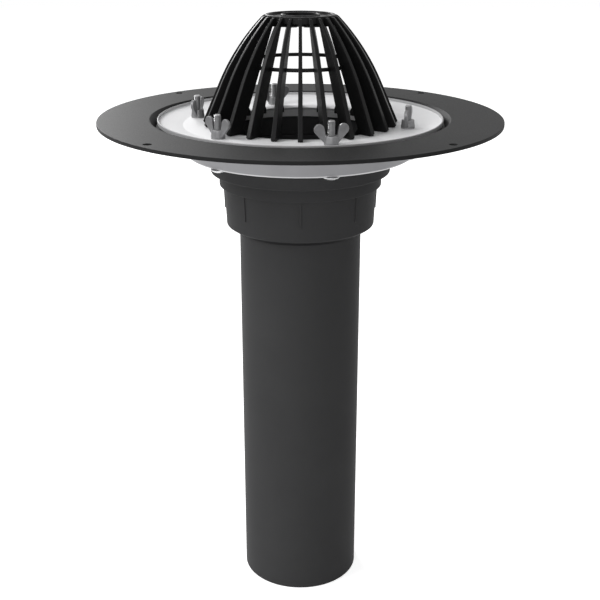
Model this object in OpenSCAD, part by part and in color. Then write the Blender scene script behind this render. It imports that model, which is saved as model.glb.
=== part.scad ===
// Flat roof drain: leaf dome, clamp ring with wing nuts, roof flange, support dish,
// drain body, outlet socket and outlet pipe. Millimetres, +Z up.
// The origin is on the drain's axis, at the flange's underside, which lies on the roof deck.

/* [Outlet pipe] */
// Outer diameter of the outlet pipe, from which every other radius is built up
pipe_d = 110; // [90:1:125]
// Wall of the outlet pipe
pipe_t = 3.4; // [2.2:0.1:5]
// Length of the outlet pipe
pipe_len = 392; // [120:1:1000]
// Gap around the pipe in the guide tube
pipe_gap = 0.3; // [0.2:0.1:0.6]

/* [Outlet socket] */
// Width of the socket's foot around the pipe
socket_w = 11.6; // [10.4:0.1:16]
// Taper of the socket, taken off the radius at its foot
socket_taper = 1.7; // [0:0.1:2]
// Height of the socket
socket_h = 41.5; // [36:0.5:60]
// Width of the step over the socket
step_w = 4.2; // [2:0.1:8]
// Height of the step
step_h = 12; // [8:0.5:16]
// Number of ribs
rib_count = 8; // [4:1:16]
// Length of the ribs
rib_len = 24; // [10:1:30]
// Width of a rib
rib_w = 1.8; // [1:0.1:3]
// Height of a rib over the socket's wall
rib_out = 0.9; // [0.4:0.1:2]
// Wall of the socket's inner guide tube
guide_t = 3.3; // [2.5:0.1:3.6]
// Length of pipe held in the guide tube
guide_len = 20; // [12:1:24]

/* [Drain body] */
// Width of the ledge between the step and the body's skirt
body_w = 7.5; // [6:0.1:12]
// Wall of the body
body_t = 3; // [2.4:0.1:3.4]
// Length of the skirt below the dish
skirt_h = 16.2; // [12:0.1:26]
// Width of the inner shoulder between the skirt and the mouth
shoulder_w = 2; // [1:0.1:4]
// Width of the rim that hangs on the dish's floor
hang_w = 7.5; // [4:0.5:12]
// Thickness of that rim
hang_t = 3; // [2:0.5:4]
// Gap between the flange's neck and the body's mouth
mouth_gap = 1.6; // [0.6:0.1:3]

/* [Roof flange] */
// Width of the flange outside its well
flange_w = 45.5; // [30:0.5:80]
// Thickness of the flange
flange_t = 3; // [2:0.5:4]
// Slope width of the well's side, from the sunken seat up to the deck level
well_run = 5; // [3:0.5:8]
// Gap between the clamp ring's edge and the foot of the well's side
well_gap = 1.5; // [1:0.5:4]
// Wall of the neck
neck_t = 2.4; // [1.5:0.1:3.5]
// Depth of the neck below the sunken seat
neck_h = 6.4; // [5:0.2:12]
// Diameter of the four fixing holes
fix_hole_d = 7; // [4:0.5:9]
// Distance of the fixing holes from the flange's edge
fix_edge = 9; // [6:0.5:20]

/* [Clamp ring] */
// Sheet thickness of the clamp ring
ring_t = 1.5; // [1:0.1:2.5]
// Depth of the ring's flat below the flange's top face
ring_drop = 6; // [4:0.5:8]
// Width of the ring's flat outside the bolts' circle
flat_w = 7.4; // [7:0.1:12]
// Width of the sloping rim
rim_w = 22; // [12:0.5:30]
// Rise of the sloping rim
rim_rise = 3.6; // [1:0.2:4]
// Height of the lip on the rim
lip_h = 2.4; // [1:0.2:4]
// Width of the lip
lip_w = 1.3; // [0.8:0.1:2]
// Step from the neck's bore out to the ring's opening
throat_step = 0.5; // [0:0.1:2]

/* [Clamp bolts] */
// Thread diameter of the bolts
bolt_d = 6; // [4:0.5:7]
// Width of the land from the body's hanging rim out to the bolts' circle
bolt_land = 8.1; // [7.5:0.1:12]
// Length of the bolts under the head
bolt_len = 45.6; // [43:0.2:60]
// Diameter of the mushroom head
head_d = 14; // [11:0.5:16]
// Height of the mushroom head
head_h = 3; // [2:0.2:5]
// Height of the square neck under the head
square_h = 2.4; // [1:0.2:2.8]
// Gap around each bolt in its holes
bolt_gap = 0.3; // [0.2:0.1:0.6]

/* [Wing nuts] */
// Diameter of the nut at its foot
nut_foot_d = 12; // [11:0.5:13]
// Diameter at the top of the threaded part
nut_top_d = 10.6; // [9.5:0.2:11]
// Height of the threaded part
nut_body_h = 6.5; // [5:0.5:9]
// Height of the nut over its wings
nut_h = 16; // [15:0.2:20]
// Span over the wings
wing_span = 29; // [26:0.5:29]
// Radius of a wing's round end
wing_r = 4.3; // [3.5:0.1:4.3]
// Thickness of the wings
wing_t = 2.4; // [1.6:0.2:3]
// Diameter of the washer
washer_d = 12; // [11:0.5:13]
// Thickness of the washer
washer_t = 1; // [0.8:0.1:1.6]

/* [Leaf dome] */
// Height of the dome over the clamp ring's flat
dome_h = 93; // [85:1:120]
// Number of fins
fin_count = 24; // [12:1:30]
// Thickness of a fin at its foot
fin_foot_t = 4.3; // [2.5:0.1:5]
// Thickness of a fin at the cap
fin_top_t = 2.7; // [1.5:0.1:3.5]
// Gap between the fins' feet and the nuts' feet
nut_room = 4.1; // [4:0.1:8]
// Chamfer under the fins' outer feet
foot_chamfer = 1.7; // [0.5:0.1:3]
// Width of the locating lugs under the fins
lug_w = 4; // [2:0.1:6]
// Lean of the fins' lower outer edge from the vertical, in degrees
fin_lean = 23.8; // [23:0.2:28]
// Height over the ring's flat at which the fins start to bend in
bend_h = 35.5; // [28:0.5:44]
// Depth of the locating lugs inside the opening
lug_h = 3; // [1:0.5:5]
// Height of the hoop over the ring's flat
hoop_z = 51; // [30:1:60]
// Height of the hoop's section
hoop_h = 3; // [2:0.2:5]
// Width of the hoop's section
hoop_w = 3.5; // [2:0.2:5]
// Diameter of the cap
cap_d = 60; // [52:1:70]
// How far the fins' tips stand out from the cap
tip_out = 3.1; // [2.2:0.1:6]
// Height of the cap's skirt
cap_h = 6; // [5:0.2:12]
// Depth of the webs and the collar under the cap's skirt
web_drop = 3.8; // [2:0.2:6]
// Length of the toes that carry the fins' lugs
fin_toe = 4.8; // [2:0.2:6]
// Wall of the cap
cap_t = 3; // [2:0.2:4]
// Width of the cap around its hole
cap_rim = 15; // [8:0.5:20]

/* [Support dish] */
// Width of the dish's floor outside the bolts' circle
dish_land = 4.9; // [4.5:0.1:10]
// Height of the dish
dish_h = 19.3; // [16:0.1:24]
// Wall of the dish
dish_t = 3; // [2:0.2:3.4]
// Growth of the dish's radius from its lower edge to its top plate
dish_draft = 2.5; // [0:0.5:5]
// Inset of the top plate's edge from the clamp ring's edge
plate_inset = 1; // [0.5:0.5:4]
// Width of the top plate inside the bolts
plate_in = 7.6; // [6.5:0.1:9]
// Diameter of the bolt pillars inside the dish
pillar_d = 11; // [9:0.5:12]

/* [Seals] */
// Thickness of the gasket between flange and dish
gasket_t = 2; // [1:0.5:3]
// Gap between the gasket and the flange's neck
gasket_gap = 0.6; // [0.3:0.1:1.5]
// Thickness of the round seal in the body's skirt
cord_d = 2.7; // [2:0.1:3]
// Height of the lip seal around the pipe
lip_seal_h = 14; // [8:0.5:14]

/* [Hidden] */
$fn = 96;

bolt_count = 6;
first_bolt = -75;   // direction of bolt 1; the front is at -90
fix_count = 4;
first_fix = 45;
cut = 1;            // how far a cut runs past the faces it goes through
soft = 0.6;         // small edge rounding on plastic and sheet

// clearances inside the part
thread_gap = 0.05;  // nut on bolt
washer_gap = 0.2;   // washer on bolt
slip_gap = 0.15;    // socket in the body's skirt, body in the dish's floor
seal_gap = 0.05;    // round seal in its groove
square_gap = 0.2;   // bolt's square neck in the dish's floor

// levels, from the deck down and up
deck_top = flange_t;
flat_z = deck_top - ring_drop;
seat_z = flat_z - ring_t;
flange_low = seat_z - flange_t;
plate_z = flange_low - gasket_t;
dish_z = plate_z - dish_h;
floor_z = dish_z + dish_t;
skirt_z = dish_z - skirt_h;
step_z = skirt_z - step_h;
socket_z = step_z - socket_h;
dome_top = flat_z + dome_h;

// radii, built up from the pipe outwards
pipe_r = pipe_d / 2;
pipe_in_r = pipe_r - pipe_t;
guide_r = pipe_r + pipe_gap;
socket_foot_r = pipe_r + socket_w;
socket_r = socket_foot_r + socket_taper;
step_r = socket_r + step_w;
body_r = step_r + body_w;
skirt_in_r = body_r - body_t;
plug_r = skirt_in_r - slip_gap;
mouth_r = skirt_in_r - shoulder_w;
hang_r = body_r + hang_w;
neck_r = mouth_r - mouth_gap - neck_t;
throat_r = neck_r + throat_step;
gasket_in_r = neck_r + neck_t + gasket_gap;
bolt_r = bolt_d / 2;
bolt_at = hang_r + bolt_land;
hole_r = bolt_r + bolt_gap;
dish_r = bolt_at + dish_land;
ring_flat_r = bolt_at + flat_w;
ring_r = ring_flat_r + rim_w;
plate_r = ring_r - plate_inset;
well_r = ring_r + well_gap;
well_top_r = well_r + well_run;
flange_r = well_top_r + flange_w;

// points of an arc round c, from angle a0 to a1
function arc(c, r, a0, a1, n = 6) =
    [for (i = [0:n]) let (a = a0 + (a1 - a0) * i / n) c + r * [cos(a), sin(a)]];

// where a straight edge from p touches the circle round c; side is -1 or 1
function touch(p, c, r, side) =
    let (v = c - p, d = norm(v), a = atan2(v[1], v[0]) + side * asin(r / d))
    p + sqrt(d * d - r * r) * [cos(a), sin(a)];

// places its children on every bolt's axis
module at_bolts() {
    for (i = [1:bolt_count]) at_bolt(i) children();
}

// places its children on one bolt's axis, with +X pointing away from the drain
module at_bolt(i) {
    rotate(first_bolt + 360 / bolt_count * (i - 1)) translate([bolt_at, 0, 0]) children();
}

// round hole between two levels on the local axis
module hole(r, low, high) {
    translate([0, 0, low - cut]) cylinder(r = r, h = high - low + 2 * cut);
}

module ring_blank(profile) {
    rotate_extrude($fn = 180) polygon(profile);
}

// ---- leaf dome -------------------------------------------------------------

lug_gap = 0.8;      // lug clear of the opening's edge
foot_r = bolt_at - nut_foot_d / 2 - nut_room;
foot_in_r = throat_r - lug_gap - lug_w;
cap_r = cap_d / 2;
cap_low = dome_top - cap_h;
fin_top_z = dome_top - 1.1;
fin_drop = 0.8;     // height of the rounding where a fin runs into the cap
fin_tip = [cap_r + tip_out, fin_top_z - fin_drop];
bend_from = [foot_r - (bend_h - foot_chamfer) * tan(fin_lean), flat_z + bend_h];
// the bend leaves the straight edge smoothly and runs through the tip
bend_in = [-cos(fin_lean), -sin(fin_lean)];
bend_r = norm(fin_tip - bend_from) ^ 2 / (2 * (fin_tip - bend_from) * bend_in);
bend_c = bend_from + bend_r * bend_in;
bend_end = asin((fin_tip[1] - bend_c[1]) / bend_r);
fin_shoulder = fin_drop / (1 - sin(bend_end));
cap_bite = 1.2;     // how far the fins run into the cap's skirt
fin_step = 2.3;     // step from the fins' inner edge in to the cap's skirt
web_rise = 1.8;     // rise of a web from the collar out to the fin
toe_h = 5;          // height of a fin's toe at its root
toe_tip_h = 1.5;    // height of a fin's toe at its tip

function fin_inner_r(z) =
    let (low_r = foot_in_r + fin_toe)
    low_r + (cap_r + fin_step - low_r) * (z - flat_z) / (cap_low + cap_bite - flat_z);

cap_recess = 2;
collar_w = 1.6;
hole_edge = cap_r - cap_rim;
plate_low = dome_top - cap_recess - 0.7 * cap_t;
web_z = cap_low - web_drop;

fin_outline = concat(
    [[foot_r - foot_chamfer, flat_z], [foot_r, flat_z + foot_chamfer]],
    arc(bend_c, bend_r, fin_lean, bend_end, 12),
    arc(fin_tip - fin_shoulder * [cos(bend_end), sin(bend_end)], fin_shoulder, bend_end + 15, 90, 2),
    // the web under the cap runs in to the collar
    [[cap_r - cap_bite, fin_top_z], [cap_r - cap_bite, plate_low + soft],
     [hole_edge + collar_w / 2, plate_low + soft], [hole_edge + collar_w / 2, web_z],
     [fin_inner_r(web_z + web_rise), web_z + web_rise],
     [fin_inner_r(flat_z + toe_h), flat_z + toe_h], [foot_in_r, flat_z + toe_tip_h],
     [foot_in_r, flat_z - lug_h],
     [foot_in_r + lug_w, flat_z - lug_h], [foot_in_r + lug_w, flat_z]]);

module fin() {
    intersection() {
        rotate([90, 0, 0])
            linear_extrude(height = 2 * fin_foot_t, center = true) polygon(fin_outline);
        // draft: the fin thins from its foot to the cap
        rotate([90, 0, 90])
            linear_extrude(height = foot_r + cut)
                polygon([[-fin_foot_t / 2, flat_z - lug_h - cut], [fin_foot_t / 2, flat_z - lug_h - cut],
                         [fin_top_t / 2, dome_top], [-fin_top_t / 2, dome_top]]);
    }
}

module cap() {
    collar_r = hole_edge + collar_w;
    ring_blank([[hole_edge, web_z + soft], [hole_edge, dome_top],
                [collar_r, dome_top], [collar_r + soft, dome_top - cap_recess],
                [cap_r - cap_t, dome_top - cap_recess], [cap_r - cap_t + soft, dome_top],
                [cap_r - soft, dome_top], [cap_r, dome_top - soft],
                [cap_r, cap_low], [cap_r - cap_t, cap_low],
                [cap_r - cap_t, plate_low - soft], [cap_r - cap_t - soft, plate_low],
                [collar_r, plate_low], [collar_r, web_z + soft]]);
}

module hoop() {
    low = flat_z + hoop_z;
    in_r = fin_inner_r(low + hoop_h / 2) - soft;
    ring_blank([[in_r, low], [in_r + hoop_w, low], [in_r + hoop_w, low + hoop_h], [in_r, low + hoop_h]]);
}

module dome_strainer() color("#1c1c1e") {
    cap();
    hoop();
    for (i = [0:fin_count - 1]) rotate(360 / fin_count * i) fin();
}

// ---- clamp ring ------------------------------------------------------------

rim_z = flat_z + rim_rise;
lip_top = rim_z + lip_h;

module clamp_ring() color("#d9dade") difference() {
    ring_blank([[throat_r, seat_z], [ring_flat_r, seat_z], [ring_r, rim_z - ring_t],
                [ring_r, lip_top - soft], [ring_r - soft, lip_top], [ring_r - lip_w, lip_top],
                [ring_r - lip_w, rim_z], [ring_flat_r, flat_z], [throat_r, flat_z]]);
    at_bolts() hole(hole_r, seat_z, flat_z);
}

// ---- roof flange -----------------------------------------------------------

module flange_plate() color("#58595c") {
    under_shift = flange_t * 0.6;   // keeps the sloping side about as thick as the sheet
    difference() {
        ring_blank([[neck_r, seat_z - soft], [neck_r + soft, seat_z], [well_r, seat_z],
                    [well_top_r, deck_top - soft], [well_top_r + soft, deck_top],
                    [flange_r - soft, deck_top], [flange_r, deck_top - soft],
                    [flange_r, soft], [flange_r - soft, 0], [well_top_r + under_shift, 0],
                    [well_r + under_shift, flange_low], [neck_r + neck_t, flange_low],
                    [neck_r + neck_t, seat_z - neck_h], [neck_r, seat_z - neck_h]]);
        for (i = [0:fix_count - 1])
            rotate(first_fix + 360 / fix_count * i) translate([flange_r - fix_edge, 0, 0])
                hole(fix_hole_d / 2, 0, deck_top);
        at_bolts() hole(hole_r, flange_low, seat_z);
    }
}

// ---- gasket and support dish -----------------------------------------------

module base_gasket() color("#202022") difference() {
    ring_blank([[gasket_in_r, plate_z], [plate_r, plate_z],
                [plate_r, flange_low], [gasket_in_r, flange_low]]);
    at_bolts() hole(hole_r, plate_z, flange_low);
}

module support_dish() color("#a9abb0") {
    corner = 1.5;
    plate_low = plate_z - dish_t;
    wall_top_r = dish_r + dish_draft;
    plate_in_r = bolt_at - plate_in;
    floor_in_r = body_r + slip_gap;
    difference() {
        union() {
            ring_blank(concat(
                [[floor_in_r, dish_z]],
                arc([dish_r - corner, dish_z + corner], corner, -90, 0, 4),
                [[wall_top_r, plate_low], [plate_r, plate_low], [plate_r, plate_z],
                 [plate_in_r, plate_z], [plate_in_r, plate_low], [wall_top_r - dish_t, plate_low],
                 [dish_r - dish_t, floor_z], [floor_in_r, floor_z]]));
            intersection() {
                at_bolts() translate([0, 0, dish_z + soft])
                    cylinder(d = pillar_d, h = dish_h - 2 * soft);
                translate([0, 0, dish_z]) cylinder(r = dish_r - soft, h = dish_h);
            }
        }
        at_bolts() {
            hole(hole_r, dish_z, plate_z);
            side = bolt_d + 2 * square_gap;
            translate([-side / 2, -side / 2, dish_z - cut]) cube([side, side, square_h + square_gap + cut]);
        }
    }
}

// ---- drain body ------------------------------------------------------------

shelf_z = dish_z;   // inside shoulder that the outlet socket stops against

module drain_body() color("#4b4c4f")
    ring_blank([[mouth_r, plate_z], [mouth_r, shelf_z], [skirt_in_r, shelf_z],
                [skirt_in_r, skirt_z], [body_r - soft, skirt_z], [body_r, skirt_z + soft],
                [body_r, floor_z], [hang_r, floor_z],
                [hang_r, floor_z + hang_t], [mouth_r + body_t, floor_z + hang_t],
                [mouth_r + body_t, plate_z]]);

groove_z = shelf_z - 8;
groove_h = cord_d + 0.8;
groove_r = skirt_in_r - cord_d - 2 * seal_gap;

module body_seal() color("#202022")
    rotate_extrude($fn = 120)
        translate([(groove_r + skirt_in_r) / 2, groove_z - groove_h / 2]) circle(d = cord_d, $fn = 24);

// ---- outlet socket ---------------------------------------------------------

stop_z = step_z - 1;            // the pipe's upper end stops here
wall_t = 3.3;
step_in_r = step_r - wall_t;
funnel_z = step_z + 6;
foot_h = 5.5;                   // height of the socket's sloping foot
foot_lip_gap = 2.5;
foot_lip_r = pipe_r + foot_lip_gap;
foot_in_lip_r = socket_foot_r - wall_t - 0.5;
pocket_top = stop_z - 1;
guide_z = stop_z - guide_len;

module socket_rib() {
    top_r = socket_r + rib_out;
    translate([0, rib_w / 2, 0]) rotate([90, 0, 0]) linear_extrude(height = rib_w)
        polygon([[socket_foot_r - 1, step_z], [top_r, step_z],
                 [top_r - socket_taper * rib_len / socket_h, step_z - rib_len + rib_out],
                 [socket_foot_r - 1, step_z - rib_len]]);
}

module outlet_socket() color("#4b4c4f") {
    ring_blank(concat(
        [[plug_r - wall_t, shelf_z], [plug_r, shelf_z],
         [plug_r, groove_z], [groove_r, groove_z],
         [groove_r, groove_z - groove_h], [plug_r, groove_z - groove_h],
         [plug_r, skirt_z], [step_r, skirt_z], [step_r, step_z + soft], [step_r - soft, step_z],
         [socket_r, step_z]],
        [[socket_foot_r, socket_z + foot_h + soft], [socket_foot_r - soft, socket_z + foot_h - soft],
         [foot_lip_r + soft, socket_z], [foot_lip_r, socket_z + soft], [foot_lip_r, socket_z + foot_h],
         [foot_in_lip_r, socket_z + foot_h], [foot_in_lip_r, pocket_top],
         [guide_r + guide_t, pocket_top], [guide_r + guide_t, guide_z],
         [guide_r, guide_z], [guide_r, stop_z], [pipe_in_r, stop_z], [pipe_in_r, stop_z + 2.5],
         [step_in_r, funnel_z], [step_in_r, groove_z - groove_h - wall_t]]));
    for (i = [0:rib_count - 1]) rotate(360 / rib_count * i) socket_rib();
}

module pipe_seal() color("#202022") {
    low = socket_z + foot_h;
    out_r = foot_in_lip_r - seal_gap;
    lip_r = pipe_r + seal_gap;
    heel_r = pipe_r + 3;
    mid = low + lip_seal_h / 2;
    ring_blank([[heel_r, low], [out_r, low], [out_r, low + lip_seal_h], [heel_r + 0.4, low + lip_seal_h],
                [heel_r, mid + 3], [lip_r, mid + 1.5], [lip_r, mid - 1.5], [heel_r - 0.4, mid - 4]]);
}

// ---- outlet pipe -----------------------------------------------------------

module outlet_pipe() color("#4b4c4f") translate([0, 0, stop_z - pipe_len]) difference() {
    cylinder(r = pipe_r, h = pipe_len, $fn = 180);
    translate([0, 0, -cut]) cylinder(r = pipe_in_r, h = pipe_len + 2 * cut, $fn = 180);
}

// ---- clamp bolts, washers and wing nuts ------------------------------------

module clamp_bolt(i) color("#8f9196") at_bolt(i) translate([0, 0, dish_z]) {
    tip = 0.8;
    rim = 0.6;
    head_r = head_d / 2;
    cap_rise = head_h - rim;
    ball_r = (head_r * head_r + cap_rise * cap_rise) / (2 * cap_rise);
    half = asin(head_r / ball_r);
    cylinder(r = bolt_r, h = bolt_len - tip);
    translate([0, 0, bolt_len - tip]) cylinder(r1 = bolt_r, r2 = bolt_r - tip, h = tip);
    translate([-bolt_r, -bolt_r, 0]) cube([bolt_d, bolt_d, square_h]);
    rotate_extrude($fn = 48)
        polygon(concat([[0, 0], [head_r, 0]], arc([0, ball_r - head_h], ball_r, half - 90, -90, 8)));
}

module washer(i) color("#8f9196") at_bolt(i) difference() {
    translate([0, 0, flat_z]) cylinder(d = washer_d, h = washer_t);
    hole(bolt_r + washer_gap, flat_z, flat_z + washer_t);
}

nut_z = flat_z + washer_t;

module wing(side) {
    c = [side * (wing_span / 2 - wing_r), nut_h - wing_r];
    low = [side * (nut_foot_d / 2 - 0.3), 0.4];
    high = [side * (nut_top_d / 2 - 0.6), nut_body_h - 0.4];
    rotate([90, 0, 90]) linear_extrude(height = wing_t, center = true) {
        translate(c) circle(r = wing_r, $fn = 48);
        polygon([[0, low[1]], low, touch(low, c, wing_r, -side), touch(high, c, wing_r, side),
                 high, [0, high[1]]]);
    }
}

module wing_nut(i) color("#8f9196") at_bolt(i) translate([0, 0, nut_z]) difference() {
    union() {
        cylinder(d1 = nut_foot_d, d2 = nut_top_d, h = nut_body_h);
        wing(-1);
        wing(1);
    }
    hole(bolt_r + thread_gap, 0, nut_h);
}

// ---- nodes -----------------------------------------------------------------

dome_strainer();
clamp_ring();
flange_plate();
base_gasket();
support_dish();
drain_body();
body_seal();
outlet_socket();
pipe_seal();
outlet_pipe();
clamp_bolt(1);  // clamp_bolt_1
clamp_bolt(2);  // clamp_bolt_2
clamp_bolt(3);  // clamp_bolt_3
clamp_bolt(4);  // clamp_bolt_4
clamp_bolt(5);  // clamp_bolt_5
clamp_bolt(6);  // clamp_bolt_6
washer(1);  // washer_1
washer(2);  // washer_2
washer(3);  // washer_3
washer(4);  // washer_4
washer(5);  // washer_5
washer(6);  // washer_6
wing_nut(1);  // wing_nut_1
wing_nut(2);  // wing_nut_2
wing_nut(3);  // wing_nut_3
wing_nut(4);  // wing_nut_4
wing_nut(5);  // wing_nut_5
wing_nut(6);  // wing_nut_6
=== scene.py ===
import math
import bmesh
import bpy
from mathutils import Matrix, Vector


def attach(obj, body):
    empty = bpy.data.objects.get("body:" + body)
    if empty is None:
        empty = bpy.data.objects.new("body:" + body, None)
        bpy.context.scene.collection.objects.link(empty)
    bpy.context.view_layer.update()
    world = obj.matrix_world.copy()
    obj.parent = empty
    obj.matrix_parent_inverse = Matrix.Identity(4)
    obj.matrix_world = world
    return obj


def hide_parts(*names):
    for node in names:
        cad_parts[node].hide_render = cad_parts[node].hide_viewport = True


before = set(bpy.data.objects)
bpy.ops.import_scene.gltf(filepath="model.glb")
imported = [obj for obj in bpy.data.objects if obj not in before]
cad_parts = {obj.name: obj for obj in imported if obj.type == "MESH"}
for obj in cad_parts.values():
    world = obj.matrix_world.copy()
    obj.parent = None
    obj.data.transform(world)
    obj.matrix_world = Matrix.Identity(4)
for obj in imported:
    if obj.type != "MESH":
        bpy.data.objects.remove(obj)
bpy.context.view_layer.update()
print("frame loaded:", len(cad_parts), "nodes")

mm = 0.001                      # sizes below are in millimetres
sharpAngle = 38                 # edges that bend more than this stay crisp, in degrees
softAngle = 40                  # and edges that bend more than this get softened
grainHeight = 0.0002            # depth of the finest grain, in metres
noiseEnds = (0.3, 0.7)          # what a noise really reaches
leastBend = 0.02                # corners that bend less than this stay as they are, in radians
mostTaken = 0.48                # share of a side that the rounding of one corner may take


# shape tools that several pieces use

def roundCorners(corners, steps=4):
    # corners: (radius from the axis, height, edge rounding)
    points = []
    count = len(corners)
    for i, (x, z, rounding) in enumerate(corners):
        here = Vector((x, z))
        back = Vector(corners[i - 1][:2]) - here
        ahead = Vector(corners[(i + 1) % count][:2]) - here
        bend = math.pi - back.angle(ahead)
        if rounding <= 0 or bend < leastBend:
            points.append(here)
            continue
        reach = rounding * math.tan(bend / 2)
        longest = mostTaken * min(back.length, ahead.length)
        if reach > longest:
            rounding *= longest / reach
            reach = longest
        start = here + back.normalized() * reach
        end = here + ahead.normalized() * reach
        middle = (back.normalized() + ahead.normalized()).normalized()
        centre = here + middle * math.hypot(reach, rounding)
        first = start - centre
        turn = first.angle_signed(end - centre)
        for k in range(steps + 1):
            spoke = first.copy()
            spoke.rotate(Matrix.Rotation(-turn * k / steps, 2))
            points.append(centre + spoke)
    return points


def arcPoints(centre, radius, first, last, steps):
    turns = [first + (last - first) * k / steps for k in range(steps + 1)]
    return [centre + radius * Vector((math.cos(angle), math.sin(angle))) for angle in turns]


def polar(radius, degrees):
    angle = math.radians(degrees)
    return radius * math.cos(angle), radius * math.sin(angle)


def outAndAcross(degrees):
    # unit vectors straight out from the axis and square to that
    angle = math.radians(degrees)
    return Vector((math.cos(angle), math.sin(angle), 0)), Vector((-math.sin(angle), math.cos(angle), 0))


def smoothEdges(obj):
    bm = bmesh.new()
    bm.from_mesh(obj.data)
    for face in bm.faces:
        face.smooth = True
    for edge in bm.edges:
        angle = edge.calc_face_angle(0.0) if len(edge.link_faces) == 2 else math.pi
        edge.smooth = angle < math.radians(sharpAngle)
    bm.to_mesh(obj.data)
    bm.free()


def newObject(name, bm, material=None):
    bmesh.ops.remove_doubles(bm, verts=bm.verts, dist=1e-7)
    bmesh.ops.recalc_face_normals(bm, faces=bm.faces)
    mesh = bpy.data.meshes.new(name)
    bm.to_mesh(mesh)
    bm.free()
    obj = bpy.data.objects.new(name, mesh)
    bpy.context.scene.collection.objects.link(obj)
    smoothEdges(obj)
    if material:
        mesh.materials.append(material)
    return obj


def placeRound(at, radius, angle, height):
    # a point in metres, at a radius and an angle from the upright axis through at
    return (at[0] * mm + radius * mm * math.cos(angle),
            at[1] * mm + radius * mm * math.sin(angle), height * mm)


def turnedRing(name, corners, segments, material=None, at=(0, 0), steps=4):
    # a closed outline turned once round the upright axis through at
    points = roundCorners(corners, steps)
    bm = bmesh.new()
    rings = []
    for s in range(segments):
        angle = 2 * math.pi * s / segments
        rings.append([bm.verts.new(placeRound(at, p.x, angle, p.y)) for p in points])
    for s in range(segments):
        near, far = rings[s], rings[(s + 1) % segments]
        for i in range(len(points)):
            j = (i + 1) % len(points)
            bm.faces.new([near[i], far[i], far[j], near[j]])
    return newObject(name, bm, material)


def turnedSolid(name, corners, segments, at=(0, 0)):
    # an open outline that starts and ends on the axis
    bm = bmesh.new()
    rows = []
    for p in roundCorners(corners):
        if p.x < 1e-6:
            rows.append([bm.verts.new((at[0] * mm, at[1] * mm, p.y * mm))])
            continue
        rows.append([bm.verts.new(placeRound(at, p.x, 2 * math.pi * s / segments, p.y))
                     for s in range(segments)])
    for low, high in zip(rows, rows[1:]):
        for s in range(segments):
            t = (s + 1) % segments
            if len(low) == 1 and len(high) > 1:
                bm.faces.new([low[0], high[s], high[t]])
            elif len(high) == 1 and len(low) > 1:
                bm.faces.new([low[s], high[0], low[t]])
            elif len(low) > 1:
                bm.faces.new([low[s], high[s], high[t], low[t]])
    return newObject(name, bm)


def slab(name, rows):
    # a solid between two rows of matching points, in metres
    bm = bmesh.new()
    sides = []
    for row in rows:
        sides.append([bm.verts.new(point) for point in row])
        bm.faces.new(sides[-1])
    count = len(sides[0])
    for i in range(count):
        j = (i + 1) % count
        bm.faces.new([sides[0][i], sides[0][j], sides[1][j], sides[1][i]])
    return newObject(name, bm)


def squareBlock(name, spot, degrees, half, low, high):
    # a square block on the upright axis through spot, one side facing the direction
    bm = bmesh.new()
    bmesh.ops.create_cube(bm, size=1)
    turn = Matrix.Rotation(math.radians(degrees), 4, "Z")
    for vert in bm.verts:
        height = low if vert.co.z < 0 else high
        flat = turn @ Vector((math.copysign(half, vert.co.x), math.copysign(half, vert.co.y), 0))
        vert.co = Vector((flat.x + spot[0], flat.y + spot[1], height)) * mm
    return newObject(name, bm)


def settled(obj):
    # turns an object and its modifiers into one plain mesh
    graph = bpy.context.evaluated_depsgraph_get()
    mesh = bpy.data.meshes.new_from_object(obj.evaluated_get(graph))
    obj.modifiers.clear()
    old = obj.data
    obj.data = mesh
    bpy.data.meshes.remove(old)
    mesh.name = obj.name
    return obj


def softened(obj, width, segments):
    soften = obj.modifiers.new("soften", "BEVEL")
    soften.width = width * mm
    soften.segments = segments
    soften.limit_method = "ANGLE"
    soften.angle_limit = math.radians(softAngle)
    return settled(obj)


def combine(obj, others, operation):
    # joins or cuts with each of the others, which are used up
    group = bpy.data.collections.new("tools")
    bpy.context.scene.collection.children.link(group)
    for other in others:
        group.objects.link(other)
    step = obj.modifiers.new("combine", "BOOLEAN")
    step.operation = operation
    step.solver = "EXACT"
    step.operand_type = "COLLECTION"
    step.collection = group
    settled(obj)
    for other in others:
        mesh = other.data
        bpy.data.objects.remove(other)
        bpy.data.meshes.remove(mesh)
    bpy.data.collections.remove(group)
    smoothEdges(obj)


def drillBit(radius, low, high, at):
    # a round cutter with a small countersink at both faces
    chamfer, over, turns = 0.3, 1.0, 40
    flare = radius + chamfer + over
    corners = [(0, low - over, 0), (flare, low - over, 0), (radius, low + chamfer, 0),
               (radius, high - chamfer, 0), (flare, high + over, 0), (0, high + over, 0)]
    return turnedSolid("bit", corners, turns, at)


def finish(obj, node, body):
    evenShading = obj.modifiers.new("evenShading", "WEIGHTED_NORMAL")
    evenShading.keep_sharp = True
    evenShading.weight = 80
    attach(obj, body)
    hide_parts(node)
    return obj


# materials

def startMaterial(name):
    material = bpy.data.materials.new(name)
    material.use_nodes = True
    nodes, links = material.node_tree.nodes, material.node_tree.links
    shader = nodes["Principled BSDF"]
    place = nodes.new("ShaderNodeTexCoord")
    return material, nodes, links, shader, place.outputs["Object"]


def noiseOf(nodes, links, coords, scale, detail, roughness=0.55):
    noise = nodes.new("ShaderNodeTexNoise")
    noise.inputs["Scale"].default_value = scale
    noise.inputs["Detail"].default_value = detail
    noise.inputs["Roughness"].default_value = roughness
    links.new(coords, noise.inputs["Vector"])
    return noise.outputs["Fac"]


def spread(nodes, links, value, low, high):
    ranged = nodes.new("ShaderNodeMapRange")
    ranged.inputs["From Min"].default_value, ranged.inputs["From Max"].default_value = noiseEnds
    ranged.inputs["To Min"].default_value = low
    ranged.inputs["To Max"].default_value = high
    links.new(value, ranged.inputs["Value"])
    return ranged.outputs["Result"]


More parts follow.
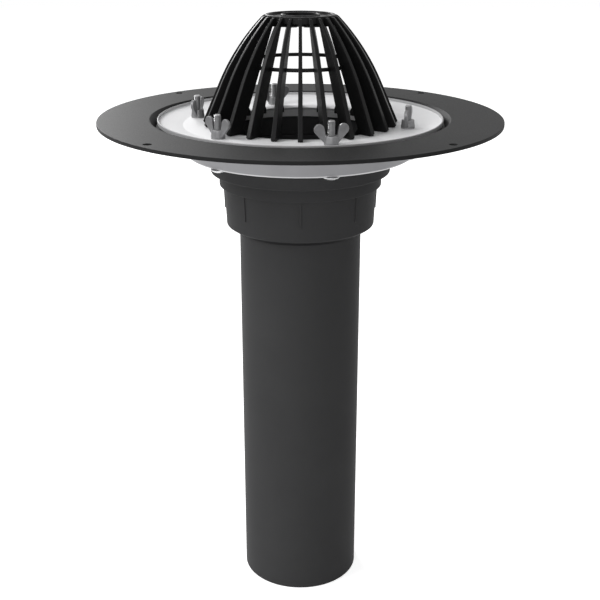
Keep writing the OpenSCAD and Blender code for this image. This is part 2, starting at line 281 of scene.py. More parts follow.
def mixColours(nodes, links, factor, first, second):
    mix = nodes.new("ShaderNodeMix")
    mix.data_type = "RGBA"
    mix.inputs["A"].default_value = (*first, 1)
    mix.inputs["B"].default_value = (*second, 1)
    links.new(factor, mix.inputs["Factor"])
    return mix.outputs["Result"]


def addZone(nodes, links, coords, colour, zone):
    # painted light or shade: another colour past a distance from the drain's axis or from the deck, in
    # metres
    across = nodes.new("ShaderNodeVectorMath")
    across.operation = "MULTIPLY"
    across.inputs[1].default_value = zone["axes"]
    links.new(coords, across.inputs[0])
    length = nodes.new("ShaderNodeVectorMath")
    length.operation = "LENGTH"
    links.new(across.outputs["Vector"], length.inputs[0])
    ramp = nodes.new("ShaderNodeMapRange")
    ramp.inputs["From Min"].default_value, ramp.inputs["From Max"].default_value = zone["ends"]
    links.new(length.outputs["Value"], ramp.inputs["Value"])
    mix = nodes.new("ShaderNodeMix")
    mix.data_type = "RGBA"
    mix.inputs["B"].default_value = (*zone["shade"], 1)
    links.new(colour, mix.inputs["A"])
    links.new(ramp.outputs["Result"], mix.inputs["Factor"])
    return mix.outputs["Result"]


def addSurface(nodes, links, coords, shader, colour, grain, look):
    # colour with its zones, roughness and fine bumps
    for zone in look.get("zones", ()):
        colour = addZone(nodes, links, coords, colour, zone)
    links.new(colour, shader.inputs["Base Color"])
    links.new(spread(nodes, links, grain, *look["roughness"]), shader.inputs["Roughness"])
    bump = nodes.new("ShaderNodeBump")
    bump.inputs["Strength"].default_value = look["grainDepth"]
    bump.inputs["Distance"].default_value = grainHeight
    links.new(grain, bump.inputs["Height"])
    links.new(bump.outputs["Normal"], shader.inputs["Normal"])


def mouldedPlastic(name, look):
    # black or grey moulded plastic: faint mottling, fine grain and a soft sheen
    material, nodes, links, shader, coords = startMaterial(name)
    mottle = noiseOf(nodes, links, coords, look["mottleScale"], 3)
    grain = noiseOf(nodes, links, coords, look["grainScale"], 5, 0.6)
    colour = mixColours(nodes, links, mottle, look["dark"], look["light"])
    addSurface(nodes, links, coords, shader, colour, grain, look)
    shader.inputs["IOR"].default_value = look["ior"]
    shader.inputs["Specular IOR Level"].default_value = look["shine"]
    return material


def softMetal(name, look):
    # satin sheet or cast metal: fine speckle, slow cloudiness and a little grain
    material, nodes, links, shader, coords = startMaterial(name)
    cloud = noiseOf(nodes, links, coords, look["cloudScale"], 2)
    speckle = noiseOf(nodes, links, coords, look["speckleScale"], 6, 0.7)
    both = nodes.new("ShaderNodeMath")
    both.operation = "MULTIPLY_ADD"
    both.inputs[1].default_value = look["speckleShare"]
    links.new(speckle, both.inputs[0])
    links.new(spread(nodes, links, cloud, 0.0, 1.0 - look["speckleShare"]), both.inputs[2])
    colour = mixColours(nodes, links, both.outputs[0], look["dark"], look["light"])
    addSurface(nodes, links, coords, shader, colour, speckle, look)
    shader.inputs["Metallic"].default_value = look["metallic"]
    return material


fromAxis, fromDeck = (1, 1, 0), (0, 0, 1)      # what a zone's distance is measured from

domePlastic = mouldedPlastic("domePlastic", {
    "dark": (0.0065, 0.0065, 0.0067), "light": (0.011, 0.011, 0.0113), "mottleScale": 40,
    "grainScale": 900, "grainDepth": 0.08, "roughness": (0.28, 0.38), "ior": 1.46, "shine": 0.14})
# painted light: the neck's inside is painted paler, for the light that the dome keeps from it
flangePlastic = mouldedPlastic("flangePlastic", {
    "dark": (0.018, 0.018, 0.0184), "light": (0.023, 0.023, 0.0234), "mottleScale": 25,
    "grainScale": 1200, "grainDepth": 0.12, "roughness": (0.46, 0.56), "ior": 1.46, "shine": 0.058,
    "zones": [{"axes": fromAxis, "ends": (0.0722, 0.0718), "shade": (0.58, 0.58, 0.585)}]})
pipeLook = {
    "dark": (0.046, 0.046, 0.047), "light": (0.056, 0.056, 0.057), "mottleScale": 18,
    "grainScale": 1000, "grainDepth": 0.10, "roughness": (0.52, 0.64), "ior": 1.46, "shine": 0.04}
pipePlastic = mouldedPlastic("pipePlastic", pipeLook)
# painted shade: the socket's foot is painted darker where it closes on the pipe, for the contact shadow
# there
socketPlastic = mouldedPlastic("socketPlastic", pipeLook | {
    "zones": [{"axes": fromDeck, "ends": (0.0940, 0.0948), "shade": (0.016, 0.016, 0.0165)}]})
sealRubber = mouldedPlastic("sealRubber", {
    "dark": (0.010, 0.010, 0.010), "light": (0.018, 0.018, 0.018), "mottleScale": 60,
    "grainScale": 1500, "grainDepth": 0.2, "roughness": (0.70, 0.85), "ior": 1.45, "shine": 0.20})
# painted shade: the ring's lip and the edge of its opening are painted darker, for the shade on them and
# in the gap by the flange
ringMetal = softMetal("ringMetal", {
    "dark": (0.82, 0.82, 0.83), "light": (0.92, 0.92, 0.93), "cloudScale": 14, "speckleScale": 700,
    "speckleShare": 0.5, "grainDepth": 0.10, "roughness": (0.55, 0.68), "metallic": 0.08,
    "zones": [{"axes": fromAxis, "ends": (0.1234, 0.1238), "shade": (0.36, 0.36, 0.365)},
              {"axes": fromAxis, "ends": (0.0755, 0.0725), "shade": (0.30, 0.30, 0.305)}]})
# painted highlight: the dish's lower corner is painted brighter, for the light it catches from below
dishMetal = softMetal("dishMetal", {
    "dark": (0.24, 0.24, 0.25), "light": (0.31, 0.31, 0.32), "cloudScale": 20, "speckleScale": 800,
    "speckleShare": 0.5, "grainDepth": 0.10, "roughness": (0.36, 0.48), "metallic": 0.45,
    "zones": [{"axes": fromDeck, "ends": (0.0272, 0.0278), "shade": (0.62, 0.62, 0.63)}]})
# painted highlight: the bolts' heads under the dish are painted brighter, for the light they catch from
# below
boltZinc = softMetal("boltZinc", {
    "dark": (0.26, 0.26, 0.265), "light": (0.38, 0.38, 0.385), "cloudScale": 120, "speckleScale": 1500,
    "speckleShare": 0.5, "grainDepth": 0.05, "roughness": (0.28, 0.40), "metallic": 0.60,
    "zones": [{"axes": fromDeck, "ends": (0.0280, 0.0286), "shade": (0.80, 0.80, 0.81)}]})
nutZinc = softMetal("nutZinc", {
    "dark": (0.17, 0.17, 0.175), "light": (0.29, 0.29, 0.295), "cloudScale": 150, "speckleScale": 1800,
    "speckleShare": 0.6, "grainDepth": 0.15, "roughness": (0.34, 0.48), "metallic": 0.6})
print("materials made")


# levels shared by the pieces that stand on each other

levels = {"deckTop": 3.0, "flat": -3.0, "seat": -4.5, "flangeLow": -7.5, "plate": -9.5,
          "dish": -28.8, "floor": -25.8, "skirt": -45.0, "step": -57.0, "pipeStop": -58.0,
          "socket": -98.5, "pipeLow": -450.0}
bolts = {"count": 6, "radius": 95.6, "first": -75.0, "hole": 3.3}
boltDirections = [bolts["first"] + 360 / bolts["count"] * i for i in range(bolts["count"])]
boltSpots = [polar(bolts["radius"], d) for d in boltDirections]


def boltHoles(low, high):
    return [drillBit(bolts["hole"], low, high, spot) for spot in boltSpots]


# leaf dome: tapered fins, a hoop and an open cap, moulded in one

dome = {"fins": 24, "height": 93.0, "footRadius": 85.5, "footInside": 66.7, "footChamfer": 1.7,
        "footThick": 4.3, "topThick": 2.7, "taperBelow": 1.0, "edge": 0.5,
        "lean": 23.8, "bendHeight": 35.5, "bendSteps": 12, "tipOut": 3.1, "tipDrop": 0.8, "tipSteps": 3,
        "finDrop": 1.1, "bite": 1.2, "step": 2.3, "sink": 0.6,
        "toe": 4.8, "toeRoot": 5.0, "toeTip": 1.5, "lugRadius": 70.7, "lugDepth": 3.0,
        "capRadius": 30.0, "capDepth": 6.0, "capWall": 3.0, "holeRadius": 15.0, "collar": 1.6,
        "recess": 2.0, "plate": 2.1, "webDrop": 3.8, "webRise": 1.8,
        "hoopHeight": 51.0, "hoopThick": 3.0, "hoopWide": 3.5, "turns": 144}


def finInside(height):
    # radius of the fins' inner edge at a height over the ring's flat
    span = dome["height"] - dome["capDepth"] + dome["bite"]
    low = dome["footInside"] + dome["toe"]
    return low + (dome["capRadius"] + dome["step"] - low) * height / span


def finOutline():
    base = levels["flat"]
    top = base + dome["height"] - dome["finDrop"]
    lean = math.radians(dome["lean"])
    foot, chamfer = dome["footRadius"], dome["footChamfer"]
    start = Vector((foot - (dome["bendHeight"] - chamfer) * math.tan(lean), base + dome["bendHeight"]))
    tip = Vector((dome["capRadius"] + dome["tipOut"], top - dome["tipDrop"]))
    # the bend leaves the straight edge smoothly and runs through the tip
    inward = -Vector((math.cos(lean), math.sin(lean)))
    radius = (tip - start).length_squared / (2 * (tip - start).dot(inward))
    centre = start + radius * inward
    end = math.asin((tip.y - centre.y) / radius)
    rounding = dome["tipDrop"] / (1 - math.sin(end))
    middle = tip - rounding * Vector((math.cos(end), math.sin(end)))
    outside = arcPoints(centre, radius, lean, end, dome["bendSteps"])
    outside += arcPoints(middle, rounding, end, math.pi / 2, dome["tipSteps"])[1:]
    # the web under the cap runs in to the collar
    inside, collar = dome["capRadius"] - dome["bite"], dome["holeRadius"] + dome["collar"] / 2
    plate = base + dome["height"] - dome["recess"] - dome["plate"] + dome["sink"]
    web = dome["height"] - dome["capDepth"] - dome["webDrop"]
    webOut = web + dome["webRise"]
    lug, lugLow = dome["lugRadius"], base - dome["lugDepth"]
    return [(foot - chamfer, base), (foot, base + chamfer)] + [tuple(point) for point in outside] + [
        (inside, top), (inside, plate), (collar, plate), (collar, base + web),
        (finInside(webOut), base + webOut), (finInside(dome["toeRoot"]), base + dome["toeRoot"]),
        (dome["footInside"], base + dome["toeTip"]), (dome["footInside"], lugLow),
        (lug, lugLow), (lug, base)]


def makeFin(outline, degrees):
    base = levels["flat"] - dome["lugDepth"] - dome["taperBelow"]
    span = dome["height"] + dome["lugDepth"] + dome["taperBelow"]
    along, across = outAndAcross(degrees)
    rows = []
    for side in (-1, 1):
        row = []
        for x, z in outline:
            share = (z - base) / span
            half = (dome["footThick"] + (dome["topThick"] - dome["footThick"]) * share) / 2
            row.append((along * x + across * side * half + Vector((0, 0, z))) * mm)
        rows.append(row)
    return softened(slab("fin", rows), dome["edge"], 3)


def makeDome():
    top = levels["flat"] + dome["height"]
    capLow = top - dome["capDepth"]
    rim, hole = dome["capRadius"], dome["holeRadius"]
    wall, collar = rim - dome["capWall"], hole + dome["collar"]
    floor = top - dome["recess"]
    under = floor - dome["plate"]
    web = capLow - dome["webDrop"] + dome["sink"]
    cap = turnedRing("leafDome", [
        (hole, web, 0.4), (hole, top, 0.5), (collar, top, 0.5), (collar + 0.4, floor, 0.3),
        (wall, floor, 0.3), (wall + 0.5, top, 0.5), (rim, top, 0.7), (rim, capLow, 0.5),
        (wall, capLow, 0.5), (wall, under, 0.8), (collar, under, 0.4), (collar, web, 0.4)],
        dome["turns"], domePlastic)
    hoopLow = levels["flat"] + dome["hoopHeight"]
    hoopTop = hoopLow + dome["hoopThick"]
    hoopIn = finInside(dome["hoopHeight"] + dome["hoopThick"] / 2) - dome["sink"]
    hoopOut = hoopIn + dome["hoopWide"]
    hoop = turnedRing("hoop", [(hoopIn, hoopLow, 0.7), (hoopOut, hoopLow, 0.7), (hoopOut, hoopTop, 0.7),
                               (hoopIn, hoopTop, 0.7)], dome["turns"])
    outline = finOutline()
    fins = [makeFin(outline, 360 / dome["fins"] * i) for i in range(dome["fins"])]
    combine(cap, [hoop] + fins, "UNION")
    return finish(cap, "dome_strainer", "root")


leafDome = makeDome()
print("leaf dome made:", len(leafDome.data.polygons), "faces")


# clamp ring

ring = {"radius": 125.0, "sheet": 1.5, "flatRadius": 103.0, "rimRise": 3.6, "lipHeight": 2.4,
        "lipWidth": 1.3, "opening": 71.5, "turns": 256}


def makeClampRing():
    flat, seat = levels["flat"], levels["seat"]
    rim = flat + ring["rimRise"]
    top = rim + ring["lipHeight"]
    out, bend, opening = ring["radius"], ring["flatRadius"], ring["opening"]
    lip = out - ring["lipWidth"]
    obj = turnedRing("clampRing", [
        (opening, seat, 0.3), (bend, seat, 0.8), (out, rim - ring["sheet"], 0.8), (out, top, 0.6),
        (lip, top, 0.6), (lip, rim, 0.4), (bend, flat, 0.8), (opening, flat, 1.1)],
        ring["turns"], ringMetal)
    combine(obj, boltHoles(seat, flat), "DIFFERENCE")
    finish(obj, "clamp_ring", "root")


makeClampRing()
print("clamp ring made")


# roof flange with its sunken seat and short neck

flange = {"radius": 177.0, "thick": 3.0, "wellFoot": 126.5, "wellRun": 5.0, "wellLean": 0.6,
          "neck": 71.0, "neckWall": 2.4, "neckDepth": 6.4,
          "fixings": 4, "fixRadius": 168.0, "fixHole": 3.5, "fixFirst": 45, "turns": 288}


def makeFlange():
    top, seat, low = levels["deckTop"], levels["seat"], levels["flangeLow"]
    foot, neck, out = flange["wellFoot"], flange["neck"], flange["radius"]
    brim, neckOut = foot + flange["wellRun"], neck + flange["neckWall"]
    shift = flange["thick"] * flange["wellLean"]
    end = seat - flange["neckDepth"]
    obj = turnedRing("roofFlange", [
        (neck, seat, 0.6), (foot, seat, 0.5), (brim, top, 0.9), (out, top, 0.6), (out, 0, 0.2),
        (brim + shift, 0, 1.0), (foot + shift, low, 0.6), (neckOut, low, 0.6), (neckOut, end, 0.4),
        (neck, end, 0.4)], flange["turns"], flangePlastic)
    fixDirections = [flange["fixFirst"] + 360 / flange["fixings"] * i for i in range(flange["fixings"])]
    fixings = [drillBit(flange["fixHole"], 0, top, polar(flange["fixRadius"], d)) for d in fixDirections]
    combine(obj, fixings + boltHoles(low, seat), "DIFFERENCE")
    finish(obj, "flange_plate", "root")


makeFlange()
print("roof flange made")


# gasket, support dish and drain body

gasket = {"inside": 74.0, "outside": 124.0, "turns": 192}
dish = {"lowRadius": 100.5, "topRadius": 103.0, "wall": 3.0, "corner": 1.5, "plateRadius": 124.0,
        "plateInside": 88.0, "floorHole": 80.15, "pillar": 4.5, "pillarFoot": 0.6, "pillarSink": 0.5,
        "pillarTurns": 36, "squareSide": 6.4, "squareDepth": 2.6, "turns": 224}
body = {"mouth": 75.0, "wall": 3.0, "hang": 87.5, "hangThick": 3.0, "skirt": 80.0, "skirtEdge": 2.2,
        "turns": 192}


def makeGasket():
    low, top = levels["plate"], levels["flangeLow"]
    inside, outside = gasket["inside"], gasket["outside"]
    obj = turnedRing("baseGasket", [(inside, low, 0.3), (outside, low, 0.3), (outside, top, 0.3),
                                    (inside, top, 0.3)], gasket["turns"], sealRubber, steps=2)
    combine(obj, boltHoles(low, top), "DIFFERENCE")
    finish(obj, "base_gasket", "root")


def makeDish():
    low, top, floor = levels["dish"], levels["plate"], levels["floor"]
    wall = dish["wall"]
    under = top - wall
    hole, foot, shoulder = dish["floorHole"], dish["lowRadius"], dish["topRadius"]
    plateIn, plateOut = dish["plateInside"], dish["plateRadius"]
    obj = turnedRing("supportDish", [
        (hole, low, 0.4), (foot, low, dish["corner"]), (shoulder, under, 1.2), (plateOut, under, 0.5),
        (plateOut, top, 0.5), (plateIn, top, 0.5), (plateIn, under, 0.5), (shoulder - wall, under, 0.6),
        (foot - wall, floor, 0.8), (hole, floor, 0.4)], dish["turns"], dishMetal)
    # pillars round the bolts, from the floor up into the plate
    start, end = low + dish["pillarFoot"], under + dish["pillarSink"]
    pillar = [(0, start, 0), (dish["pillar"], start, 0), (dish["pillar"], end, 0), (0, end, 0)]
    pillars = [turnedSolid("pillar", pillar, dish["pillarTurns"], spot) for spot in boltSpots]
    combine(obj, pillars, "UNION")
    half, squareTop = dish["squareSide"] / 2, low + dish["squareDepth"]
    squares = [squareBlock("bit", spot, direction, half, low - 1, squareTop)
               for spot, direction in zip(boltSpots, boltDirections)]
    combine(obj, boltHoles(low, top) + squares, "DIFFERENCE")
    finish(obj, "support_dish", "root")


def makeBody():
    plate, shelf, floor, low = levels["plate"], levels["dish"], levels["floor"], levels["skirt"]
    mouth, wall, hang, skirt = body["mouth"], body["wall"], body["hang"], body["skirt"]
    collar, hangTop = mouth + wall, floor + body["hangThick"]
    obj = turnedRing("drainBody", [
        (mouth, plate, 0.5), (mouth, shelf, 0.5), (skirt - wall, shelf, 0.4), (skirt - wall, low, 0.4),
        (skirt, low, body["skirtEdge"]), (skirt, floor, 0.3), (hang, floor, 0.5), (hang, hangTop, 0.6),
        (collar, hangTop, 0.8), (collar, plate, 0.5)], body["turns"], pipePlastic)
    finish(obj, "drain_body", "root")


makeGasket()
makeDish()
makeBody()
print("gasket, dish and body made")


# outlet socket, its seals and the pipe

socket = {"plug": 76.85, "wall": 3.3, "groove": 74.2, "grooveTop": -36.8, "grooveLow": -40.3, "step": 72.5,
          "top": 68.3, "foot": 66.6, "footHeight": 5.5, "lip": 57.5, "lipSlant": 0.5, "lipRise": 0.3,
          "inside": 62.8, "pocketTop": -59.0, "guideIn": 55.3, "guideOut": 58.6, "guideLow": -78.0,
          "stopThick": 2.5, "funnelRise": 6.0, "turns": 192,
          "ribs": 8, "ribWide": 1.8, "ribOut": 0.9, "ribLong": 24.0, "ribSink": 0.4, "ribRoot": 1.0,
          "ribEdge": 0.25}
pipe = {"radius": 55.0, "wall": 3.4, "chamfer": 0.5, "turns": 192}
seals = {"cordRadius": 1.35, "cordAt": 75.6, "lipHeight": 14.0, "heel": 3.0, "gap": 0.05, "turns": 128}


def makeRib(degrees):
    high, low = levels["step"] + socket["ribSink"], levels["step"] - socket["ribLong"]
    taper = (socket["top"] - socket["foot"]) / (levels["step"] - levels["socket"])
    root = socket["foot"] - socket["ribRoot"]
    outTop = socket["top"] + socket["ribOut"]
    outLow = outTop - taper * socket["ribLong"]
    outline = ((root, high), (outTop, high), (outLow, low + socket["ribOut"]), (root, low))
    along, across = outAndAcross(degrees)
    wide = socket["ribWide"]
    rows = [[(along * x + across * side * wide / 2 + Vector((0, 0, z))) * mm for x, z in outline]
            for side in (-1, 1)]
    return softened(slab("rib", rows), socket["ribEdge"], 2)


def makeSocket():
    s = socket
    shelf, skirt, step, low, stop = (levels[k] for k in ("dish", "skirt", "step", "socket", "pipeStop"))
    plug, groove, grooveTop, grooveLow = (s[k] for k in ("plug", "groove", "grooveTop", "grooveLow"))
    lip, inside, pocketTop, guideLow = (s[k] for k in ("lip", "inside", "pocketTop", "guideLow"))
    shoulder = low + s["footHeight"]
    stepIn, bore = s["step"] - s["wall"], pipe["radius"] - pipe["wall"]
    upper = [(plug - s["wall"], shelf, 0.3), (plug, shelf, 0.3), (plug, grooveTop, 0.15),
             (groove, grooveTop, 0.15), (groove, grooveLow, 0.15), (plug, grooveLow, 0.15),
             (plug, skirt, 0.0)]
    outside = [(s["step"], skirt, 0.2), (s["step"], step, 0.8), (s["top"], step, 0.3),
               (s["foot"], shoulder, 1.6), (lip + s["lipSlant"], low, 0.5),
               (lip, low + s["lipRise"], 0.2), (lip, shoulder, 0.2)]
    pocket = [(inside, shoulder, 0.2), (inside, pocketTop, 0.3), (s["guideOut"], pocketTop, 0.3),
              (s["guideOut"], guideLow, 0.3), (s["guideIn"], guideLow, 0.3), (s["guideIn"], stop, 0.1)]
    funnel = [(bore, stop, 0.2), (bore, stop + s["stopThick"], 0.8), (stepIn, step + s["funnelRise"], 1.2),
              (stepIn, grooveLow - s["wall"], 0.8)]
    obj = turnedRing("outletSocket", upper + outside + pocket + funnel, s["turns"], socketPlastic)
    combine(obj, [makeRib(360 / s["ribs"] * i) for i in range(s["ribs"])], "UNION")
    finish(obj, "outlet_socket", "root")


def makePipe():
    top, low, out, chamfer = levels["pipeStop"], levels["pipeLow"], pipe["radius"], pipe["chamfer"]
    inside = out - pipe["wall"]
    obj = turnedRing("outletPipe", [
        (inside, low, 0.2), (out - chamfer, low, 0.1), (out, low + chamfer, 0.3), (out, top, 0.3),
        (inside, top, 0.3)], pipe["turns"], pipePlastic, steps=3)
    finish(obj, "outlet_pipe", "root")


def makeSeals():
    middle = (socket["grooveTop"] + socket["grooveLow"]) / 2
    r, at = seals["cordRadius"], seals["cordAt"]
    circle = [(at + r * math.cos(math.radians(a)), middle + r * math.sin(math.radians(a)), 0)
              for a in range(0, 360, 20)]
    finish(turnedRing("bodySeal", circle, seals["turns"], sealRubber), "body_seal", "root")
    low = levels["socket"] + socket["footHeight"]
    mid, top = low + seals["lipHeight"] / 2, low + seals["lipHeight"]
    out, lip = socket["inside"] - seals["gap"], pipe["radius"] + seals["gap"]
    heel = pipe["radius"] + seals["heel"]
    lipSeal = turnedRing("pipeSeal", [
        (heel, low, 0.4), (out, low, 0.2), (out, top, 0.2), (heel + 0.4, top, 0.4), (heel, mid + 3, 0.8),
        (lip, mid + 1.5, 0.4), (lip, mid - 1.5, 0.4), (heel - 0.4, mid - 4, 0.8)],
        seals["turns"], sealRubber)
    finish(lipSeal, "pipe_seal", "root")


makeSocket()
makePipe()
makeSeals()
print("socket, pipe and seals made")


# clamp bolts: mushroom head, square neck and a rolled thread

bolt = {"radius": 3.0, "length": 45.6, "shaftSink": 0.2, "shaftStep": 0.5, "tip": 0.8,
        "headRadius": 7.0, "headHeight": 3.0, "headRim": 0.6, "headEdge": 0.25, "headSteps": 8,
        "headTurns": 48, "squareHeight": 2.4, "squareSink": 0.5,
        "pitch": 1.0, "threadDepth": 0.45, "threadLong": 32.5, "threadFade": 1.5, "columns": 30,
        "weld": 2e-6, "sliver": 1e-6}


def makeThread(spot):
    full, tip, pitch, columns = bolt["radius"], bolt["tip"], bolt["pitch"], bolt["columns"]
    high = levels["dish"] + bolt["length"]
    low = levels["dish"] + bolt["length"] - bolt["threadLong"]
    start = levels["dish"] - bolt["shaftSink"]
    plain = start + bolt["shaftStep"]
    # share of a turn, share of the depth
    crest = [(0.0, 0.0), (0.14, 0.0), (0.44, 1.0), (0.56, 1.0), (0.86, 0.0)]
    turns = int(bolt["threadLong"] / pitch) + 2
    bm = bmesh.new()
    grid = []
    for c in range(columns):
        angle = 2 * math.pi * c / columns
        column = [(start, full)]
        for t in range(-1, turns):
            for share, depth in crest:
                z = low + (t + share + c / columns) * pitch
                fade = min(1.0, max(0.0, (z - low) / bolt["threadFade"]))
                radius = min(full - depth * bolt["threadDepth"] * fade,
                             full - tip * max(0.0, (z - high + tip) / tip))
                column.append((min(max(z, plain), high), max(radius, full - tip)))
        column.append((high, full - tip))
        grid.append([bm.verts.new(((spot[0] + r * math.cos(angle)) * mm,
                                   (spot[1] + r * math.sin(angle)) * mm, z * mm)) for z, r in column])
    last = len(grid[0]) - 1
    # the last column meets the first one a whole turn later
    for c in range(columns):
        near, far = grid[c], grid[(c + 1) % columns]
        shift = len(crest) if c == columns - 1 else 0
        for i in range(1, last - 1):
            a, b = min(i + shift, last), min(i + 1 + shift, last)
            if a == b:
                bm.faces.new([near[i], far[a], near[i + 1]])
            else:
                bm.faces.new([near[i], far[a], far[b], near[i + 1]])
    bmesh.ops.remove_doubles(bm, verts=bm.verts, dist=bolt["weld"])
    bmesh.ops.dissolve_degenerate(bm, dist=bolt["sliver"], edges=bm.edges)
    bmesh.ops.holes_fill(bm, edges=[e for e in bm.edges if e.is_boundary], sides=0)
    return bm


def makeHead(spot):
    low, radius, steps = levels["dish"], bolt["headRadius"], bolt["headSteps"]
    rise = bolt["headHeight"] - bolt["headRim"]
    ball = (radius ** 2 + rise ** 2) / (2 * rise)
    half = math.asin(radius / ball)
    end = low - bolt["headHeight"]
    outline = [(0, low, 0), (radius, low, bolt["headEdge"])]
    for k in range(steps):
        angle = half * (steps - k) / steps
        outline.append((ball * math.sin(angle), end + ball * (1 - math.cos(angle)), 0))
    return turnedSolid("head", outline + [(0, end, 0)], bolt["headTurns"], spot)


clampBolts = []
for i, (spot, direction) in enumerate(zip(boltSpots, boltDirections), 1):
    shaft = newObject(f"clampBolt{i}", makeThread(spot), boltZinc)
    neck = squareBlock("neck", spot, direction, bolt["radius"], levels["dish"] - bolt["squareSink"],
                       levels["dish"] + bolt["squareHeight"])
    combine(shaft, [makeHead(spot), neck], "UNION")
    clampBolts.append(finish(shaft, f"clamp_bolt_{i}", "root"))
print("clamp bolts made:", len(clampBolts[0].data.polygons), "faces each")


# washers and wing nuts, each on its own body

nut = {"foot": 6.0, "top": 5.3, "bodyHeight": 6.5, "height": 16.0, "span": 29.0, "wingRadius": 4.3,
       "wingThick": 2.4, "wingSteps": 28, "wingFoot": 0.3, "wingTop": 0.6, "margin": 0.4,
       "bore": 3.05, "boreFlare": 1.4, "turns": 72, "boreTurns": 48, "voxel": 0.16, "blend": 10,
       "lighten": 0.35}
washerSize = {"radius": 6.0, "thick": 1.0, "bore": 3.2, "gap": 0.03, "turns": 48}


def tangent(point, centre, radius, side):
    # where a straight line from the point touches the circle
    away = centre - point
    reach = away.length
    angle = math.atan2(away.y, away.x) + side * math.asin(radius / reach)
    return point + math.sqrt(reach ** 2 - radius ** 2) * Vector((math.cos(angle), math.sin(angle)))


def wingBlock(side):
    # one upright wing across the nut, in the nut's own place
    radius = nut["wingRadius"]
    centre = Vector((side * (nut["span"] / 2 - radius), nut["height"] - radius))
    low = Vector((side * (nut["foot"] - nut["wingFoot"]), nut["margin"]))
    high = Vector((side * (nut["top"] - nut["wingTop"]), nut["bodyHeight"] - nut["margin"]))
    first = tangent(low, centre, radius, -side)
    last = tangent(high, centre, radius, side)
    a0 = math.atan2(first.y - centre.y, first.x - centre.x)
    a1 = math.atan2(last.y - centre.y, last.x - centre.x)
    while side * (a1 - a0) < 0:
        a1 += side * 2 * math.pi
    arc = arcPoints(centre, radius, a0, a1, nut["wingSteps"])
    outline = [Vector((0, low.y)), low] + arc + [high, Vector((0, high.y))]
    return slab("wing", [[(half * nut["wingThick"] / 2 * mm, p.x * mm, p.y * mm) for p in outline]
                         for half in (-1, 1)])


def makeNutMesh():
    top, bore, margin = nut["bodyHeight"], nut["bore"], nut["margin"]
    flare = bore + nut["boreFlare"]
    core = turnedSolid("nutShape", [(0, 0, 0), (nut["foot"], 0, 0.3), (nut["top"], top, 0.5),
                                    (0, top, 0)], nut["turns"])
    combine(core, [wingBlock(-1), wingBlock(1)], "UNION")
    fine = core.modifiers.new("fine", "REMESH")
    fine.mode = "VOXEL"
    fine.voxel_size = nut["voxel"] * mm
    soften = core.modifiers.new("soften", "SMOOTH")
    soften.factor = 0.5
    soften.iterations = nut["blend"]
    lighten = core.modifiers.new("lighten", "DECIMATE")
    lighten.ratio = nut["lighten"]
    settled(core)
    cutter = turnedSolid("bit", [
        (0, -1, 0), (flare, -1, 0), (bore, margin, 0), (bore, top - margin, 0), (flare, top + 1, 0),
        (flare, nut["height"], 0), (0, nut["height"], 0)], nut["boreTurns"])
    combine(core, [cutter], "DIFFERENCE")
    mesh = core.data
    # keeps the smoothed shape inside the nut's true height
    for vert in mesh.vertices:
        vert.co.z = min(max(vert.co.z, 0.0), nut["height"] * mm)
    bpy.data.objects.remove(core)
    mesh.materials.clear()
    mesh.materials.append(nutZinc)
    return mesh


def makeWasher(number, spot):
    # its top stays a hair under the nut
    low, high = levels["flat"], levels["flat"] + washerSize["thick"] - washerSize["gap"]
    bore, out = washerSize["bore"], washerSize["radius"]
    obj = turnedRing(f"washer{number}", [(bore, low, 0.12), (out, low, 0.2), (out, high, 0.2),
                                         (bore, high, 0.12)], washerSize["turns"], boltZinc, spot, 2)
    finish(obj, f"washer_{number}", f"washer_{number}")


def makeWingNut(number, spot, degrees, mesh):
    obj = bpy.data.objects.new(f"wingNut{number}", mesh.copy())
    bpy.context.scene.collection.objects.link(obj)
    foot = Vector((spot[0], spot[1], levels["flat"] + washerSize["thick"])) * mm
    obj.data.transform(Matrix.Translation(foot) @ Matrix.Rotation(math.radians(degrees), 4, "Z"))
    return finish(obj, f"wing_nut_{number}", f"wing_nut_{number}")


nutMesh = makeNutMesh()
wingNuts = []
for i, (spot, direction) in enumerate(zip(boltSpots, boltDirections), 1):
    makeWasher(i, spot)
    wingNuts.append(makeWingNut(i, spot, direction, nutMesh))
bpy.data.meshes.remove(nutMesh)
print("washers and wing nuts made:", len(wingNuts[0].data.polygons), "faces each")


# floor, light and camera

studio = {"floorDark": (0.79, 0.79, 0.79), "floorPale": (0.81, 0.81, 0.81), "floorGlow": 0.75,
          "floorGrain": 6, "floorRough": 0.9, "floorHalf": 6, "floorGap": 0.0003,
          "worldLight": 0.30, "worldSeen": 1.0}
lamps = {"keyLamp": {"place": (-1.75, -0.6, 1.35), "size": 1.3, "power": 35.0},
         "sideLamp": {"place": (-1.05, 2.15, 0.9), "size": 0.95, "power": 35.0},
         "frontLamp": {"place": (-0.3, -2.4, 0.5), "size": 1.4, "power": 12.0}}
eye = {"lens": 64.38, "sensor": 36, "place": (-0.0003, -0.9408, 0.1803), "tilt": 69.58,
       "near": 0.05, "far": 50}


def directRays(nodes, links):
    # 1 for what is seen straight, in a gloss or through glass, and 0 for the light on the drain
    path = nodes.new("ShaderNodeLightPath")
    seen = path.outputs["Is Camera Ray"]
    for kind in ("Is Glossy Ray", "Is Transmission Ray"):
        more = nodes.new("ShaderNodeMath")
        more.operation = "MAXIMUM"
        links.new(seen, more.inputs[0])
        links.new(path.outputs[kind], more.inputs[1])
        seen = more.outputs[0]
    return seen


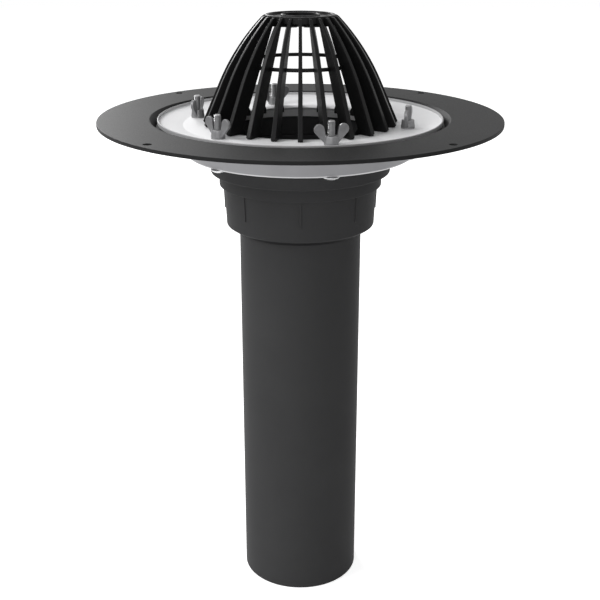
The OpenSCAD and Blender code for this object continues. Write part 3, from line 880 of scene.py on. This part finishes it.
def makeFloor():
    bm = bmesh.new()
    bmesh.ops.create_grid(bm, x_segments=1, y_segments=1, size=studio["floorHalf"])
    material, nodes, links, shader, coords = startMaterial("paleFloor")
    grain = noiseOf(nodes, links, coords, studio["floorGrain"], 2)
    colour = mixColours(nodes, links, grain, studio["floorDark"], studio["floorPale"])
    links.new(colour, shader.inputs["Base Color"])
    shader.inputs["Roughness"].default_value = studio["floorRough"]
    level = nodes.new("ShaderNodeMath")
    level.operation = "MULTIPLY"
    level.inputs[1].default_value = studio["floorGlow"]
    links.new(directRays(nodes, links), level.inputs[0])
    shader.inputs["Emission Color"].default_value = (1, 1, 1, 1)
    links.new(level.outputs[0], shader.inputs["Emission Strength"])
    floor = newObject("floor", bm, material)
    floor.location.z = levels["pipeLow"] * mm - studio["floorGap"]


def makeWorld():
    world = bpy.data.worlds.new("studio")
    bpy.context.scene.world = world
    world.use_nodes = True
    nodes, links = world.node_tree.nodes, world.node_tree.links
    sky = nodes["Background"]
    level = nodes.new("ShaderNodeMapRange")
    level.inputs["To Min"].default_value = studio["worldLight"]
    level.inputs["To Max"].default_value = studio["worldSeen"]
    links.new(directRays(nodes, links), level.inputs["Value"])
    sky.inputs["Color"].default_value = (1, 1, 1, 1)
    links.new(level.outputs["Result"], sky.inputs["Strength"])


def softLamp(name, look):
    data = bpy.data.lights.new(name, "AREA")
    data.shape = "SQUARE"
    data.size = look["size"]
    data.energy = look["power"]
    lamp = bpy.data.objects.new(name, data)
    bpy.context.scene.collection.objects.link(lamp)
    lamp.location = look["place"]
    # every lamp points at the middle of the deck
    lamp.rotation_euler = (-lamp.location).to_track_quat("-Z", "Y").to_euler()


def makeCamera():
    data = bpy.data.cameras.new("camera")
    data.lens = eye["lens"]
    data.sensor_width = eye["sensor"]
    data.clip_start = eye["near"]
    data.clip_end = eye["far"]
    camera = bpy.data.objects.new("camera", data)
    bpy.context.scene.collection.objects.link(camera)
    camera.location = eye["place"]
    camera.rotation_euler = (math.radians(eye["tilt"]), 0, 0)
    bpy.context.scene.camera = camera


makeFloor()
makeWorld()
for name, look in lamps.items():
    softLamp(name, look)
makeCamera()
bpy.context.scene.view_settings.view_transform = "Standard"
print("studio made")
